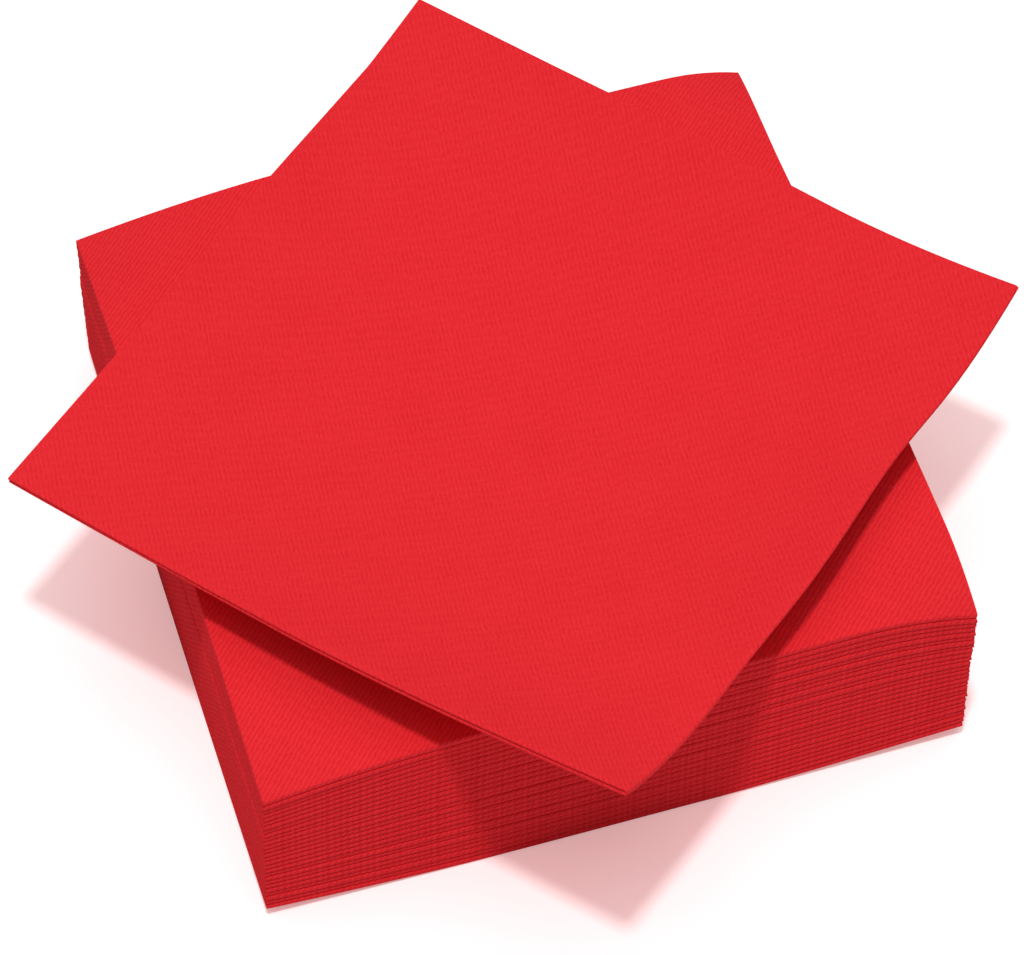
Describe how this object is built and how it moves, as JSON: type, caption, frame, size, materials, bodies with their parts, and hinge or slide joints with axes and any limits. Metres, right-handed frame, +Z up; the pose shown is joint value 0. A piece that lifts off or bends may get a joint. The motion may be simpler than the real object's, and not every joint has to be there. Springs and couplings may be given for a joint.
{
  "type": "stack of paper napkins",
  "caption": "Stack of red quarter-folded paper napkins with rounded fold edges at the front, and one more napkin lying turned across the top with its corners curled up.",
  "frame": {"origin": "on the table, under the middle of the stack", "axes": "+Z up from the table, -Y to the front where the napkins' spines are, -X to the left where each napkin shows two folded pairs"},
  "size_m": [0.232, 0.232, 0.0671],
  "materials": {
    "red_paper": "matt, finely embossed"
  },
  "bodies": {
    "root": {"napkin_01": "red_paper", "napkin_02": "red_paper", "napkin_03": "red_paper", "napkin_04": "red_paper", "napkin_05": "red_paper", "napkin_06": "red_paper", "napkin_07": "red_paper", "napkin_08": "red_paper", "napkin_09": "red_paper", "napkin_10": "red_paper", "napkin_11": "red_paper", "napkin_12": "red_paper", "napkin_13": "red_paper", "napkin_14": "red_paper", "napkin_15": "red_paper", "napkin_16": "red_paper", "napkin_17": "red_paper", "napkin_18": "red_paper", "napkin_19": "red_paper", "napkin_20": "red_paper", "napkin_21": "red_paper", "napkin_22": "red_paper", "napkin_23": "red_paper", "napkin_24": "red_paper", "napkin_25": "red_paper", "napkin_26": "red_paper", "napkin_27": "red_paper", "turned_napkin": "red_paper"}
  },
  "joints": []
}
